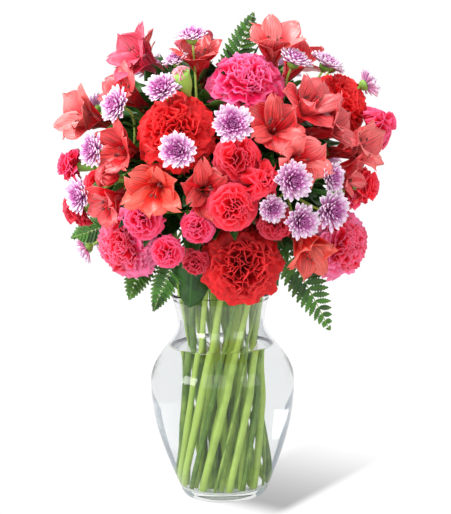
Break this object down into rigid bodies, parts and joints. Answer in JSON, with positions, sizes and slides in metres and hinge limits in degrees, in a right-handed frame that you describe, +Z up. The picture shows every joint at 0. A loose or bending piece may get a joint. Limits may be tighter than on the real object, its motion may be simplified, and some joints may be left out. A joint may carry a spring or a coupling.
{
  "type": "carnation bouquet in a vase",
  "caption": "Mixed bouquet of carnations, small carnations, Peruvian lilies, lavender mums and fern, standing in water in a clear glass ginger vase.",
  "frame": {"origin": "middle of the vase's flat foot, on the surface that the vase stands on", "axes": "+Z up along the vase; the bouquet's front faces -Y; +X is to the right seen from the front"},
  "size_m": [0.3203, 0.302, 0.471],
  "materials": {
    "glass": "clear, polished",
    "water": "clear, still",
    "stem": "waxy, satin",
    "leaf": "waxy, satin",
    "fern": "matt",
    "pink_petals": "matt, soft",
    "red_petals": "matt, soft",
    "coral_petals": "matt, soft",
    "salmon_petals": "satin, soft",
    "lavender_petals": "matt, soft"
  },
  "bodies": {
    "root": {"alstroemeria_back_blooms": "salmon_petals", "alstroemeria_back_stem": "stem", "alstroemeria_centre_left_blooms": "salmon_petals", "alstroemeria_centre_left_stem": "stem", "alstroemeria_left_blooms": "salmon_petals", "alstroemeria_left_stem": "stem", "alstroemeria_right_blooms": "salmon_petals", "alstroemeria_right_stem": "stem", "alstroemeria_side_right_blooms": "salmon_petals", "alstroemeria_side_right_stem": "stem", "alstroemeria_top_blooms": "salmon_petals", "alstroemeria_top_left_blooms": "salmon_petals", "alstroemeria_top_left_stem": "stem", "alstroemeria_top_stem": "stem", "carnation_pink_back_bloom": "pink_petals", "carnation_pink_back_stem": "stem", "carnation_pink_left_bloom": "pink_petals", "carnation_pink_left_stem": "stem", "carnation_pink_right_bloom": "pink_petals", "carnation_pink_right_stem": "stem", "carnation_pink_top_bloom": "pink_petals", "carnation_pink_top_stem": "stem", "carnation_red_back_bloom": "red_petals", "carnation_red_back_stem": "stem", "carnation_red_front_bloom": "red_petals", "carnation_red_front_stem": "stem", "carnation_red_right_bloom": "red_petals", "carnation_red_right_stem": "stem", "carnation_red_upper_bloom": "red_petals", "carnation_red_upper_stem": "stem", "fern_back": "fern", "fern_left": "fern", "fern_low_front": "fern", "fern_low_left": "fern", "fern_low_right": "fern", "fern_top": "fern", "leaf_low_back": "leaf", "leaf_over_rim": "leaf", "mini_carnation_centre_blooms": "coral_petals", "mini_carnation_centre_stem": "stem", "mini_carnation_left_blooms": "coral_petals", "mini_carnation_left_stem": "stem", "mini_carnation_side_left_blooms": "coral_petals", "mini_carnation_side_left_stem": "stem", "mini_carnation_side_right_blooms": "coral_petals", "mini_carnation_side_right_stem": "stem", "mum_back_left_blooms": "lavender_petals", "mum_back_left_stem": "stem", "mum_back_right_blooms": "lavender_petals", "mum_back_right_stem": "stem", "mum_left_blooms": "lavender_petals", "mum_left_stem": "stem", "mum_right_blooms": "lavender_petals", "mum_right_stem": "stem", "mum_top_blooms": "lavender_petals", "mum_top_right_blooms": "lavender_petals", "mum_top_right_stem": "stem", "mum_top_stem": "stem", "vase": "glass", "water": "water"}
  },
  "joints": []
}
